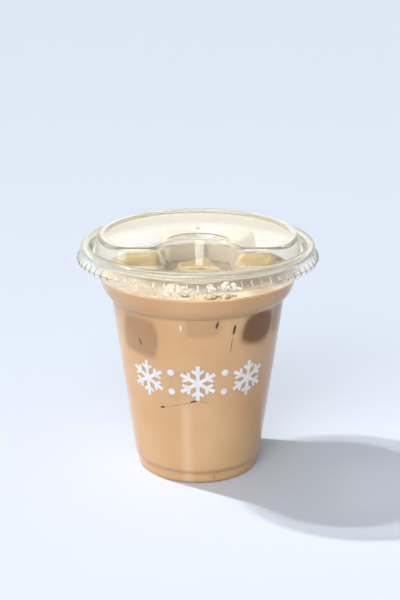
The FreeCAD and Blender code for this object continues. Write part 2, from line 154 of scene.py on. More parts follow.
# %% [markdown]
# ## From a bmesh to a piece
#
# A bmesh is only a draft: nothing shows until it is written to a mesh, and the mesh is given
# to an object. Every piece rides on the same body, root, since cup, lid and drink are lifted
# as one. Each keeps its place in its mesh, with the object itself at the origin.

# %% Make a piece
def piece(name, skin, *finishes, slot, smooth=True):
    """Turn a bmesh into an object of the root body."""
    mesh = bpy.data.meshes.new(name)
    for face in skin.faces:
        face.smooth = smooth
    skin.to_mesh(mesh)
    skin.free()
    for finish in finishes:
        mesh.materials.append(finish)
    made = bpy.data.objects.new(name, mesh)
    bpy.context.scene.collection.objects.link(made)
    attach(made, "root")
    print(name, len(mesh.polygons), "faces")
    return made


print("pieces are linked to", bpy.context.scene.collection.name)

# %% [markdown]
# ## Finishes
#
# Nothing on a real drink has one even colour. Painted images could show that, but they need a
# flat layout of each skin. Noise in the object's own coordinates needs none and looks the
# same from all sides. So every finish is a Principled shader with noise in its colour or its
# relief. The first helper makes the shader and sets its plain values.

# %% Start a finish
def new_finish(name, **values):
    """A material with its parts. An underscore in a value's name stands for a space."""
    finish = bpy.data.materials.new(name)
    finish.use_nodes = True
    shader = finish.node_tree.nodes["Principled BSDF"]
    for socket, value in values.items():
        shader.inputs[socket.replace("_", " ")].default_value = value
    return finish, finish.node_tree.nodes, finish.node_tree.links, shader


print("finishes so far:", len(bpy.data.materials))

# %% [markdown]
# ## Patterns
#
# A pattern is one number for each place, such as noise. The scale of a noise node counts how
# often it repeats in a metre, which is hard to judge, so the helper takes the size of a spot.
# A colour ramp turns the number into a colour, and small bumps can be driven by it as well.

# %% Spots, shades and relief
def spots(nodes, links, size, detail=3.0, kind="ShaderNodeTexNoise"):
    """Noise with features of about the given size in metres."""
    place = nodes.new("ShaderNodeTexCoord")
    pattern = nodes.new(kind)
    pattern.inputs["Scale"].default_value = 1 / size
    if "Detail" in pattern.inputs:
        pattern.inputs["Detail"].default_value = detail
    links.new(place.outputs["Object"], pattern.inputs["Vector"])
    return pattern.outputs[0]


def shades(nodes, links, factor, low, high, start=0.35, end=0.65):
    """A colour that runs from low to high as the pattern goes from start to end."""
    ramp = nodes.new("ShaderNodeValToRGB")
    ramp.color_ramp.elements[0].position = start
    ramp.color_ramp.elements[1].position = end
    ramp.color_ramp.elements[0].color = (*low, 1)
    ramp.color_ramp.elements[1].color = (*high, 1)
    links.new(factor, ramp.inputs["Fac"])
    return ramp.outputs["Color"]


def relief(nodes, links, shader, height, depth, strength):
    """Small bumps that are too fine to be worth faces."""
    bump = nodes.new("ShaderNodeBump")
    bump.inputs["Distance"].default_value = depth
    bump.inputs["Strength"].default_value = strength
    links.new(height, bump.inputs["Height"])
    links.new(bump.outputs["Normal"], shader.inputs["Normal"])


def mottled(name, size, detail, low, high, **values):
    """A finish whose colour drifts between two colours in spots of the given size. It gives
    back the same four things as new_finish."""
    finish, nodes, links, shader = new_finish(name, **values)
    links.new(shades(nodes, links, spots(nodes, links, size, detail), low, high),
              shader.inputs["Base Color"])
    return finish, nodes, links, shader


print("spots of 24 mm are a noise scale of", round(1 / (24 * MM), 1))

# %% [markdown]
# ## Blends
#
# Some shades don't come from noise. They lie where another piece is near, where shade is
# painted, or along a painted highlight streak. Such a place is best worked out on the mesh,
# point by point, and kept there as a named layer. A finish reads the layer and blends two
# colours by it.

# %% Layers and blends
def painted(nodes, layer):
    """The number that each point of the mesh holds in the named layer."""
    layer_node = nodes.new("ShaderNodeAttribute")
    layer_node.attribute_name = layer
    return layer_node.outputs["Fac"]


def blended(nodes, links, factor, low, high):
    """Low where the factor is 0, high where it is 1. Each may be a colour or a socket."""
    blend = nodes.new("ShaderNodeMix")
    blend.data_type = "RGBA"
    links.new(factor, blend.inputs["Factor"])
    for socket, colour in (("A", low), ("B", high)):
        if isinstance(colour, tuple):
            blend.inputs[socket].default_value = (*colour, 1)
        else:
            links.new(colour, blend.inputs[socket])
    return blend.outputs["Result"]


print("two layers will be read: milk and ice_and_painted_shade")

# %% [markdown]
# ## Clear plastic
#
# Cup and lid are formed from thin clear sheet. Making them see-through by alpha would lose
# the bright and dark lines where light bends at a bead or a rib, so they refract as glass
# does. But glass alone throws a dark shadow on what it holds. For shadow rays it is therefore
# swapped for a transparent shader, and the lamps reach the coffee inside. The lid is a little
# hazier and warmer than the cup. Its warm tint is partly painted light, for the warm light
# bounced from the coffee.

# %% Sheet finishes
def clear_sheet(name, tint, haze, blur, bend, shadow, wave):
    """Haze is the share that isn't see-through, blur the roughness and bend the refraction.
    Shadow is the share of a lamp's light that passes on, and wave the width of slow ripples."""
    finish, nodes, links, shader = new_finish(
        name, Base_Color=(*tint, 1), Roughness=blur, IOR=bend,
        Transmission_Weight=1 - haze)
    relief(nodes, links, shader, spots(nodes, links, wave, 1.0), 0.02 * MM, 0.6)
    through = nodes.new("ShaderNodeBsdfTransparent")
    through.inputs["Color"].default_value = (shadow, shadow, shadow, 1)
    rays = nodes.new("ShaderNodeLightPath")
    swap = nodes.new("ShaderNodeMixShader")
    links.new(rays.outputs["Is Shadow Ray"], swap.inputs["Fac"])
    links.new(shader.outputs["BSDF"], swap.inputs[1])
    links.new(through.outputs["BSDF"], swap.inputs[2])
    links.new(swap.outputs["Shader"], nodes["Material Output"].inputs["Surface"])
    return finish


cup_sheet = clear_sheet("clear_cup_sheet", tint=(0.995, 0.985, 0.955), haze=0.0, blur=0.03,
                        bend=1.38, shadow=0.93, wave=9 * MM)
# the lid's warm tint partly stands in for light bounced from the coffee: painted light
lid_sheet = clear_sheet("clear_lid_sheet", tint=(0.998, 0.972, 0.87), haze=0.08, blur=0.06,
                        bend=1.47, shadow=0.72, wave=7 * MM)
for node, finish in (("cup", cup_sheet), ("lid", lid_sheet)):
    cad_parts[node].data.materials.clear()
    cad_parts[node].data.materials.append(finish)
print("sheet finishes on cup and lid")

# %% [markdown]
# ## Milky coffee
#
# Coffee with milk is cloudy: light goes in, scatters and comes out near by. A volume would
# show that exactly, but it is slow and grainy. Subsurface scattering gives the same soft look.
# Slow clouds of two browns keep it from looking painted, and two layers of the mesh, which are
# filled in further down, make it paler along a painted highlight streak and darker where ice is
# near or where shade is painted.

# %% Coffee finishes
LIGHT_COFFEE = (0.65, 0.45, 0.26)
WARM_COFFEE = (0.61, 0.375, 0.205)
DARK_COFFEE = (0.15, 0.045, 0.0)
# the colour of the painted highlight streak up the wall
STREAK_HIGHLIGHT = (0.85, 0.68, 0.53)


def coffee_colour(nodes, links, shader):
    """Clouds of two browns, with the painted highlight streak and the ice and painted shade
    layers over them.
    """
    clouds = shades(nodes, links, spots(nodes, links, 24 * MM, 2.0),
                    WARM_COFFEE, LIGHT_COFFEE, 0.3, 0.7)
    # a paler streak up the wall: a painted highlight
    streaked = blended(nodes, links, painted(nodes, "painted_streak"), clouds, STREAK_HIGHLIGHT)
    links.new(blended(nodes, links, painted(nodes, "ice_and_painted_shade"), streaked, DARK_COFFEE),
              shader.inputs["Base Color"])


coffee, nodes, links, shader = new_finish(
    "milky_coffee", Roughness=0.3, Specular_IOR_Level=0.1, Subsurface_Weight=0.3,
    Subsurface_Scale=3 * MM, Subsurface_Radius=(1.0, 0.7, 0.45))
coffee_colour(nodes, links, shader)
print("coffee finish made")

# %% [markdown]
# ## Froth on the surface
#
# The surface isn't one colour. Froth gathers as a pale ring along the wall, and further in,
# between the ice, the coffee shows brown. The ring could be a piece of its own, but froth has
# no edge. So the material mixes pale and brown by the distance from a point. The point lies
# behind the axis and to the right, which leaves most froth at the front and left, and makes the
# back and right browner, partly as painted shade. Noise makes the ring uneven, and a painted
# shadow darkens the surface round each cube.

# %% Froth ring
RING_START = 42 * MM
RING_END = 49 * MM
# the middle lies behind and to the right, so the back and right come out browner: partly painted
# shade
RING_MIDDLE = Vector((8, 13, 0)) * MM
# noise moves the ring inwards, by half of this on average
RING_WANDER = 10 * MM
# the colour of the painted shadow round the floating cubes
CUBE_SHADOW_BROWN = (0.10, 0.05, 0.018)
froth, nodes, links, shader = new_finish(
    "coffee_froth", Roughness=0.3, Subsurface_Weight=0.3,
    Subsurface_Scale=2 * MM, Subsurface_Radius=(1.0, 0.8, 0.6))
place = nodes.new("ShaderNodeTexCoord")
flat = nodes.new("ShaderNodeVectorMath")
flat.operation = "MULTIPLY_ADD"
flat.inputs[1].default_value = (1, 1, 0)
flat.inputs[2].default_value = -RING_MIDDLE
distance = nodes.new("ShaderNodeVectorMath")
distance.operation = "LENGTH"
uneven = nodes.new("ShaderNodeMath")
uneven.operation = "MULTIPLY_ADD"
uneven.inputs[1].default_value = RING_WANDER
ring = nodes.new("ShaderNodeMapRange")
ring.inputs["From Min"].default_value = RING_START
ring.inputs["From Max"].default_value = RING_END
links.new(place.outputs["Object"], flat.inputs[0])
links.new(flat.outputs["Vector"], distance.inputs[0])
links.new(spots(nodes, links, 7 * MM, 4.0), uneven.inputs[0])
links.new(distance.outputs["Value"], uneven.inputs[2])
links.new(uneven.outputs["Value"], ring.inputs["Value"])
pale = shades(nodes, links, spots(nodes, links, 6 * MM, 5.0),
              (0.58, 0.45, 0.30), (0.78, 0.69, 0.55), 0.35, 0.62)
brown = shades(nodes, links, spots(nodes, links, 5 * MM, 3.0),
               (0.12, 0.06, 0.02), (0.27, 0.16, 0.065))
surface = blended(nodes, links, ring.outputs["Result"], brown, pale)
# a painted shadow darkens the froth round the floating cubes
links.new(blended(nodes, links, painted(nodes, "ice_and_painted_shade"), surface, CUBE_SHADOW_BROWN),
          shader.inputs["Base Color"])
relief(nodes, links, shader, spots(nodes, links, 1.1 * MM, kind="ShaderNodeTexVoronoi"),
       0.1 * MM, 0.4)
print("froth finish made")

# %% [markdown]
# ## What ice looks like in coffee
#
# The front cubes are wet with coffee and look golden. From the rear cubes, which stand higher,
# the coffee has drained, and they are pale; their paler colour is also painted light that
# brightens their shaded front faces, seen through the lip recess. Pure glass would vanish in
# front of the brown drink, so the ice is partly clear and partly a soft cloudy body, as ice from
# a tray is. Sunk cubes are seen only through coffee and share its colours.

# %% Ice finishes
def ice_finish(name, low, high):
    finish, nodes, links, shader = mottled(
        name, 8 * MM, 3.0, low, high, Roughness=0.12, IOR=1.31, Transmission_Weight=0.35,
        Subsurface_Weight=0.5, Subsurface_Scale=5 * MM, Subsurface_Radius=(1.0, 0.8, 0.6))
    relief(nodes, links, shader, spots(nodes, links, 3.0 * MM), 0.25 * MM, 0.4)
    return finish


wet_ice = ice_finish("wet_ice", (0.42, 0.265, 0.065), (0.70, 0.51, 0.18))
# paler partly as painted light on the shaded front faces of the rear cubes
drained_ice_painted_light = ice_finish("drained_ice_painted_light", (0.78, 0.71, 0.60), (0.91, 0.86, 0.76))

sunk_ice, nodes, links, shader = new_finish(
    "ice_in_coffee", Roughness=0.3, Specular_IOR_Level=0.1, Subsurface_Weight=0.15,
    Subsurface_Scale=2 * MM, Subsurface_Radius=(1.0, 0.7, 0.45))
coffee_colour(nodes, links, shader)
print("ice finishes made")

# %% [markdown]
# ## A melted cube
#
# A cube from a tray is a little narrower at one end. As it melts, its edges round off and its
# faces hollow or swell. A subdivided and smoothed cube would be round all over. So the cube is
# bevelled first, then cut into a fine grid, and only then is each point pushed in a little,
# more in the middle of a face and by smooth noise.

# %% Melt a cube
ICE_SIDE = 18.0 * MM
ICE_ROUND = 2.2 * MM
TRAY_SHARE = 0.895
# how much noise takes off at most, and how close its bumps lie, per metre
ICE_UNEVEN = 0.35 * MM
ICE_BUMPS = 160
# a cube that swells to a ball would be this much wider than the cube
BALL_SHARE = 1.15


def cube_of_ice(seed, hollow, pillow=0.0):
    """A melted cube about the origin. Hollow is how far its faces dip in the middle, pillow
    how far they have rounded towards a ball, from 0 to 1."""
    cube = bmesh.new()
    bmesh.ops.create_cube(cube, size=ICE_SIDE)
    for vert in cube.verts:
        if vert.co.z > 0:
            vert.co.xy *= TRAY_SHARE
    bmesh.ops.bevel(cube, geom=cube.edges, offset=ICE_ROUND, segments=4,
                    affect="EDGES", profile=0.5, material=-1)
    long_edges = [line for line in cube.edges if line.calc_length() > ICE_ROUND * 2]
    bmesh.ops.subdivide_edges(cube, edges=long_edges, cuts=13, use_grid_fill=True)
    cube.normal_update()
    half = ICE_SIDE / 2
    for vert in cube.verts:
        inner = min(sorted(abs(value) for value in vert.co)[1] / half, 1.0)
        dip = hollow * (1 - inner ** 2)
        wobble = noise.noise(vert.co * ICE_BUMPS + Vector((seed, 0, 0))) * 0.5 + 0.5
        vert.co -= vert.normal * (dip + ICE_UNEVEN * wobble)
        vert.co = vert.co.lerp(vert.co.normalized() * half * BALL_SHARE, pillow)
    return cube


trial = cube_of_ice(0, 0)
print("a melted cube has", len(trial.faces), "faces")
trial.free()

# %% [markdown]
# ## Ice at the surface
#
# Five cubes are jammed together at the surface. CAD has them as clean blocks, and each block
# is replaced by a melted cube in the same place: the middle of its box, with the same turn. A
# search tree of each cube is kept, because a painted shadow darkens the drink close to it.

# %% Ice at the surface
FACE_DIP = 0.5 * MM
# yaw (the cube's own turn and its bearing), tilt and lean in degrees, and the finish
FLOATING = {
    "ice_left": (3 + 166, 4, -5, wet_ice),
    "ice_rear_left": (-4 + 109, -5, 4, drained_ice_painted_light),
    "ice_rear_right": (5 + 53, -6, -4, drained_ice_painted_light),
    "ice_right": (-4 - 5, -4, 6, wet_ice),
    "ice_middle": (20 - 90, 4, 5, wet_ice),
}


def turn_of(yaw, tilt, lean):
    """Lean about X, then tilt about Y, then yaw about Z, all in degrees."""
    return Euler((math.radians(lean), math.radians(tilt), math.radians(yaw))).to_matrix().to_4x4()


floating = []
for seed, (node, (yaw, tilt, lean, finish)) in enumerate(FLOATING.items()):
    low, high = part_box(node)
    block = cube_of_ice(seed * 7.3, FACE_DIP)
    block.transform(Matrix.Translation((low + high) / 2) @ turn_of(yaw, tilt, lean))
    floating.append(BVHTree.FromBMesh(block))
    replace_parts(piece(node + "_melting", block, finish, slot="ice"), node)

# %% [markdown]
# ## Ice below the surface
#
# Milky coffee hides sunk ice, except where a cube presses on the wall. There its flat face
# shows as a darker patch with soft edges, and darker still on the shaded right, which is painted
# shade. A dark spot in the material would do for one view, but a real cube gives the right
# outline from every side. It is placed so that it just runs into the wall, and what would stick
# out is brought back to the skin of the drink. One cube at the right side only darkens the drink
# there, as painted shade.

# %% Ice below the surface
# the skin of the ice lies this far outside the cup's inner face, just over that of the drink
ICE_SKIN = 0.24 * MM
# name, bearing, level of the middle, how far it is pressed into the wall, size, yaw, tilt,
# lean, how round it has melted, how dark it shows, which is partly painted shade
SUNK = (
    ("sunk_ice_left", -133.5, 68.5, 0.9, 1.18, 0, 9, -6, 0.46, 0.38),
    # darkest, partly as painted shade on the shaded side
    ("sunk_ice_right", -45.5, 72.0, 0.75, 1.04, 0, 9, -14, 0.62, 0.88),
    # this cube only darkens the right side of the drink: painted shade
    ("painted_shade_right", -16.0, 74.0, 0.8, 1.10, 0, 9, -3, 0.45, 0.38),
    ("sunk_ice_front", -86.5, 77.0, 0.7, 0.85, 0, 8, 2, 0.34, 0.20),
    ("sunk_ice_low", -97.0, 49.0, 0.5, 1.05, 3, 8, -3, 0.34, 0.10),
    ("sunk_ice_east", 22.0, 52.0, 0.6, 1.05, 0, 8, 5, 0.45, 0.30),
    ("sunk_ice_north", 62.0, 70.0, 0.9, 1.10, 2, 8, -6, 0.34, 0.30),
    ("sunk_ice_back", 118.0, 62.0, 1.0, 1.00, 0, 8, 4, 0.50, 0.40),
    ("sunk_ice_west", 172.0, 71.0, 0.9, 1.05, -2, 8, -4, 0.34, 0.30),
)


def dark_layer(skin):
    """The layer that tells the coffee's finish how dark a point is, from 0 to 1: ice behind the
    wall, partly painted shade, and painted shade at the ledge and round the floating cubes.
    """
    layers = skin.verts.layers.float
    return layers.get("ice_and_painted_shade") or layers.new("ice_and_painted_shade")


sunk = []
for seed, (name, bearing, level, press, size, yaw, tilt, lean, melted, dark) in enumerate(SUNK):
    block = cube_of_ice(40 + seed * 5.1, 0, melted)
    away = wall_radius(level * MM) + press * MM - size * ICE_SIDE / 2
    block.transform(Matrix.Rotation(math.radians(bearing), 4, "Z")
                    @ Matrix.Translation((away, 0, level * MM))
                    @ turn_of(yaw, tilt, lean) @ Matrix.Scale(size, 4))
    layer = dark_layer(block)
    for vert in block.verts:
        limit = wall_radius(min(vert.co.z, INNER_FACE[-1].y)) + ICE_SKIN
        reach = vert.co.xy.length
        if reach > limit:
            vert.co.xy *= limit / reach
        vert[layer] = dark
    sunk.append((BVHTree.FromBMesh(block), dark))
    piece(name, block, sunk_ice, slot="ice")

# %% [markdown]
# ## The drink
#
# The drink is one turned body. Its outline could stop exactly at the cup's inner face, but a
# gap of air between two clear faces would show as a silver skin. So it reaches a little into
# the wall. At the wall its surface climbs in a small meniscus, as every liquid does that wets
# its cup.

# %% Turn the filling
INTO_WALL = 0.2 * MM
SKIN_STEP = 1.2 * MM
edge = wall_radius(DRINK_LEVEL)
# the meniscus, from the wall inwards to the flat surface
climb = [Vector((edge + 0.25 * MM, DRINK_LEVEL + 0.9 * MM)),
         Vector((edge - 0.25 * MM, DRINK_LEVEL + 0.35 * MM)),
         Vector((edge - 0.9 * MM, DRINK_LEVEL + 0.08 * MM)),
         Vector((edge - 2.2 * MM, DRINK_LEVEL)),
         Vector((0, DRINK_LEVEL))]
filling = [Vector((point.x + (INTO_WALL if point.x else 0), point.y - INTO_WALL * 0.5))
           for point in INNER_FACE]
filling += [Vector((point.x + INTO_WALL, point.y)) for point in shoulder]
drink_skin = turned(short_steps(filling + climb, SKIN_STEP))
for face in drink_skin.faces:
    middle = face.calc_center_median()
    on_top = middle.z > DRINK_LEVEL - 0.1 * MM and face.normal.z > 0.3
    face.material_index = 1 if on_top else 0
print("the surface has", sum(face.material_index for face in drink_skin.faces), "faces")

# %% [markdown]
# ## Shades in the coffee
#
# Through the wall one sees ice as a darker patch, partly painted shade, a painted shade on the
# ledge near the foot, and a painted highlight streak up the wall. From above, a painted shadow
# darkens the coffee close to each cube. All of these could be painted on an image, but here
# each point of the skin can simply be asked how far it is from the nearest ice. The answer is
# stored in two layers that the finish reads.

# %% Shade the filling
# milky coffee hides ice that lies this far behind the wall
FILM = 0.55 * MM
# painted shadow on the surface round the floating cubes, this wide and this dark
CUBE_SHADOW_WIDTH = 2.2 * MM
CUBE_SHADOW_DARKNESS = 0.85
# nearer to the wall than this, the surface stays as pale as its froth
PALE_EDGE = 3 * MM
LEDGE_SHADE = 0.22
# the painted highlight streak up the wall: where, half as wide, how high, faded over, how strong
STREAK_BEARING = math.radians(-99)
STREAK_WIDTH = 2.2 * MM
STREAK_TOP = 48 * MM
STREAK_FADE = 15 * MM
STREAK_STRENGTH = 0.34

layer = dark_layer(drink_skin)
# the painted highlight streak up the wall has its own layer
painted_streak = drink_skin.verts.layers.float.new("painted_streak")
for vert in drink_skin.verts:
    turn = math.atan2(vert.co.y, vert.co.x) - STREAK_BEARING
    aside = turn * vert.co.xy.length / STREAK_WIDTH
    fade = min(max((STREAK_TOP - vert.co.z) / STREAK_FADE, 0), 1)
    vert[painted_streak] = STREAK_STRENGTH * fade * math.exp(-aside ** 2)
    if vert.co.z < INNER_FACE[-2].y:
        # painted shade on the ledge near the foot
        on_ledge = INNER_FACE[-3].y < vert.co.z < INNER_FACE[-2].y
        vert[layer] = LEDGE_SHADE if on_ledge else 0
    elif vert.co.z < DRINK_LEVEL - 1 * MM:
        vert[layer] = max(dark * math.exp(-tree.find_nearest(vert.co)[3] / FILM)
                          for tree, dark in sunk)
    # a painted shadow round each floating cube
    elif vert.co.xy.length < edge - PALE_EDGE:
        vert[layer] = CUBE_SHADOW_DARKNESS * max(
            math.exp(-(tree.find_nearest(vert.co)[3] / CUBE_SHADOW_WIDTH) ** 2) for tree in floating)
drink = piece("drink_filling", drink_skin, coffee, froth, slot="mocha")
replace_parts(drink, "drink")

# %% [markdown]
# ## Froth and bubbles
#
# Shaking the drink leaves white froth near the wall, many tiny bubbles and a few large ones.
# Froth is milk foam, nearly white and cloudy. A large bubble is a thin pale film, and where it
# meets the coffee it draws a brown rim round itself. One finish for all three would lose that
# contrast, so there are three.

# %% Froth finishes
white_froth = mottled(
    "white_froth", 2 * MM, 2.0, (0.95, 0.94, 0.92), (0.98, 0.98, 0.98), Roughness=0.4,
    Subsurface_Weight=0.4, Subsurface_Scale=1.5 * MM, Subsurface_Radius=(1.0, 0.9, 0.8))[0]
bubble_film = mottled(
    "bubble_film", 1.5 * MM, 1.0, (0.66, 0.53, 0.38), (0.86, 0.77, 0.64), Roughness=0.05,
    IOR=1.33, Coat_Weight=1.0, Coat_Roughness=0.02, Alpha=0.75)[0]
rim_brown = mottled(
    "bubble_rim", 1.5 * MM, 1.0, (0.22, 0.13, 0.06), (0.36, 0.24, 0.12), Roughness=0.3)[0]
print("froth finishes:", white_froth.name, bubble_film.name, rim_brown.name)

# %% [markdown]
# ## Patches of froth
#
# A patch of froth is a heap of bubbles too small to tell apart. A flat blob with relief would
# look like paint, so each patch is a few dozen flattened balls that lie close together, half
# sunk in the surface. They are scattered at random from a fixed seed, so that each run gives
# the same froth.

# %% Scatter the froth
random.seed(5)


def ball(skin, across, along, radius, flat, fine=2):
    """A ball in the surface of the drink, flattened to a share of its height. Its place and
    radius are in millimetres."""
    middle = Vector((across * MM, along * MM, DRINK_LEVEL))
    radius *= MM
    made = bmesh.ops.create_icosphere(skin, subdivisions=fine, radius=radius)
    bmesh.ops.scale(skin, verts=made["verts"], vec=(1, 1, flat))
    bmesh.ops.translate(skin, verts=made["verts"], vec=middle)


# middle across and along, spread, number of balls, largest radius, lengths in millimetres
PATCHES = (
    (-10.5, -24.5, 3.4, 34, 1.8),
    (-4.2, -26.0, 1.6, 10, 1.0),
    (6.0, -22.5, 2.2, 14, 1.0),
    (12.5, -21.5, 4.0, 34, 1.2),
)
patches = bmesh.new()
for across, along, spread, count, largest in PATCHES:
    for _ in range(count):
        place = random.gauss(across, spread * 0.5), random.gauss(along, spread * 0.6)
        ball(patches, *place, random.uniform(0.4, 1.0) * largest, 0.55)
piece("froth_patches", patches, white_froth, slot="mocha")

# %% [markdown]
# ## Bubbles
#
# The large bubbles sit together at the front wall and are placed one by one. The tiny ones
# are strewn over the front half of the surface, so their bearings and distances are drawn at
# random. A rim could be a ring, but a flatter and wider brown ball in the same place as the
# bubble stands out round it in the same way, with no hole to make.

# %% Place the bubbles
# across, along, radius in millimetres
LARGE_BUBBLES = (
    (5.2, -35.8, 2.3),
    (11.0, -35.0, 1.9),
    (8.4, -33.8, 1.0),
    (-5.0, -33.6, 1.2),
    (14.6, -33.2, 0.8),
)
RIM_WIDTH = 0.5
TINY_COUNT = 150

bubbles = bmesh.new()
rims = bmesh.new()
for across, along, radius in LARGE_BUBBLES:
    ball(bubbles, across, along, radius, 0.8, 4)
    ball(rims, across, along, radius + RIM_WIDTH, 0.35, 3)
for _ in range(TINY_COUNT):
    bearing = math.radians(random.gauss(-90, 38))
    away = random.uniform(24, 40.6)
    radius = random.uniform(0.18, 0.55)
    ball(bubbles, away * math.cos(bearing), away * math.sin(bearing), radius, 0.9)
piece("bubbles", bubbles, bubble_film, slot="mocha")
piece("bubble_rims", rims, rim_brown, slot="mocha")

# %% [markdown]
# ## Dark gaps
#
# Where two cubes meet at the wall, a sliver of clear dark coffee shows between them, and under
# a cube it draws a thin line. The slivers could be cut as slots, but a thin lens that lies in
# the skin of the drink and just reaches the wall looks the same and needs no cutting. On the
# surface, small dark pools between the ice and the wall stand in for the shadow there: painted
# shade. Flattened balls do for those.

# %% Make a lens
LENS_THICK = 0.18 * MM
# the middle of a lens lies this far outside the cup's inner face
LENS_OUT = 0.14 * MM
# how far the body of the cup leans out, in degrees
WALL_LEAN = 7.6
# one finish for the dark slivers and the painted shadow pools
gap_and_shade_finish = mottled("dark_gap_and_shade", 1 * MM, 1.0, (0.020, 0.012, 0.006),
                     (0.06, 0.035, 0.018), Roughness=0.3)[0]


def lens(skin, bearing, level, tall, wide, slant):
    """A thin lens in the skin of the drink, upright unless slanted."""
    made = bmesh.ops.create_icosphere(skin, subdivisions=3, radius=1)
    place = (Matrix.Rotation(math.radians(bearing), 4, "Z")
             @ Matrix.Translation((wall_radius(level * MM) + LENS_OUT, 0, level * MM))
             @ Matrix.Rotation(math.radians(WALL_LEAN), 4, "Y")
             @ Matrix.Rotation(math.radians(slant), 4, "X")
             @ Matrix.Diagonal((LENS_THICK, wide * MM, tall * MM, 1)))
    bmesh.ops.transform(skin, matrix=place, verts=made["verts"])


print("finish made:", gap_and_shade_finish.name)

# %% [markdown]
# ## Where the gaps lie
#
# The gaps follow from the cubes: upright ones between two neighbours, slanted ones under a
# cube's edge. They could be found by cutting the cubes with the wall, but such cuts are ragged,
# so each gap is written down once. Most are at the front. One, low down, is a short line in
# the ring that the cup stands on.

# %% Slivers between the cubes
# bearing, level, half height, half width, slant in degrees
GAPS = (
    (-77.6, 74.6, 2.0, 0.6, -14),
    (-65.6, 71.8, 2.5, 0.65, -10),
    (-132.4, 64.5, 2.0, 0.45, 18),
    (-118.0, 36.0, 0.5, 1.2, 10),
    (-111.0, 37.0, 0.07, 2.2, 14),
    (-104.5, 38.0, 0.07, 2.2, 14),
    (-98.5, 39.0, 0.10, 2.0, 14),
    (-92.8, 40.1, 0.5, 1.8, 18),
    (-85.5, 39.8, 0.07, 2.2, -12),
    (-67.0, 65.0, 3.8, 0.16, -5),
    (-74.7, 2.7, 1.3, 0.13, 0),
    (36.0, 66.0, 1.8, 0.3, 12),
    (96.0, 73.0, 2.0, 0.35, -8),
    (150.0, 60.0, 1.6, 0.3, 15),
)
# painted shadow between the ice and the wall: across, along, radius in millimetres
SHADE_POOLS = (
    (29.0, 27.0, 1.2),
    (32.0, 24.0, 1.7),
    (35.5, 19.5, 1.4),
    (37.5, 14.5, 1.0),
    (-37.0, 12.0, 1.0),
)
gap_and_shade_skin = bmesh.new()
for gap in GAPS:
    lens(gap_and_shade_skin, *gap)
for shade_pool in SHADE_POOLS:
    ball(gap_and_shade_skin, *shade_pool, 0.15)
piece("coffee_gaps_and_shade", gap_and_shade_skin, gap_and_shade_finish, slot="mocha")

# %% [markdown]
# ## A painted glint on the wall
#
# Beside a cube, a short bright upright line shows on the wall: a painted highlight, made as a
# small white lens. A ball would show too little of it. The lens that made the dark slivers has
# the right shape, so it is used again, in the finish of the froth.

# %% A painted glint on the wall
painted_glint_skin = bmesh.new()
lens(painted_glint_skin, -101, 73.4, 1.4, 0.34, 0)
piece("painted_glint", painted_glint_skin, white_froth, slot="mocha")

# %% [markdown]
# ## Print on the cup
#
# Such cups carry a print in thick white ink, which hides the drink behind it. An image on the
# cup would need a flat layout of its skin. So the ink is a thin skin of its own. It is matt,
# slightly uneven, and not quite white.

# %% White ink
ink, nodes, links, shader = mottled(
    "white_ink", 3 * MM, 4.0, (0.80, 0.78, 0.80), (0.88, 0.86, 0.88), Roughness=0.45,
    Specular_IOR_Level=0.4)
relief(nodes, links, shader, spots(nodes, links, 0.8 * MM), 0.01 * MM, 0.5)
print("finish made:", ink.name)

# %% [markdown]
# ## Snowflakes and dots
#
# The design is a plain band of three snowflakes with dots between them. It could be drawn as
# curves, but bars are enough: a snowflake is six arms with two side arms each. The band is
# drawn flat, where it is easy to measure.

# %% Draw the snowflakes
INK = 0.03 * MM
FLAKE_REACH = 8 * MM
ARM_WIDTH = 1.6 * MM
SIDE_ARM_WIDTH = 1.35 * MM
SIDE_ARM_SHARE = 0.38
SIDE_ARM_TURN = 52
DOT_RADIUS = 1.45 * MM


def bar(skin, across, up, turn, length, width):
    """A flat bar that leaves the point (across, up) in direction turn."""
    made = bmesh.ops.create_cube(skin, size=1)["verts"]
    place = (Matrix.Translation((across, up, 0)) @ Matrix.Rotation(math.radians(turn), 4, "Z")
             @ Matrix.Translation((length / 2, 0, 0))
             @ Matrix.Diagonal((length, width, INK, 1)))
    bmesh.ops.transform(skin, matrix=place, verts=made)


def snowflake(skin, across):
    """Six arms about the point across, each with a fork half way out."""
    for arm in range(6):
        turn = 30 + arm * 60
        bar(skin, across, 0, turn, FLAKE_REACH, ARM_WIDTH)
        fork = Matrix.Rotation(math.radians(turn), 2) @ Vector((FLAKE_REACH * 0.5, 0))
        for side in (-1, 1):
            bar(skin, across + fork.x, fork.y, turn + side * SIDE_ARM_TURN,
                FLAKE_REACH * SIDE_ARM_SHARE, SIDE_ARM_WIDTH)


band = bmesh.new()
for across in (-22, 0, 22):
    snowflake(band, across * MM)
long_edges = [line for line in band.edges if line.calc_length() > 1.5 * MM]
bmesh.ops.subdivide_edges(band, edges=long_edges, cuts=5)
for across in (-11, 11):
    for up in (-4.4, 4.4):
        made = bmesh.ops.create_cone(band, cap_ends=True, segments=24, radius1=DOT_RADIUS,
                                     radius2=DOT_RADIUS, depth=INK)
        bmesh.ops.translate(band, verts=made["verts"], vec=(across * MM, up * MM, 0))
print("the flat band has", len(band.faces), "faces")

# %% [markdown]
# ## Round the wall
#
# The flat band has to follow the wall, which is a cone. A Shrinkwrap could press it on, but
# the cup's radius is known at each level. So each point's way across becomes a bearing, its
# way up a level, and its thickness a distance from the wall. The long bars were cut into short
# steps first, so that they bend with the wall.

# %% Bend the band
PRINT_LEVEL = 48.5 * MM
CUP_WALL = 0.45 * MM
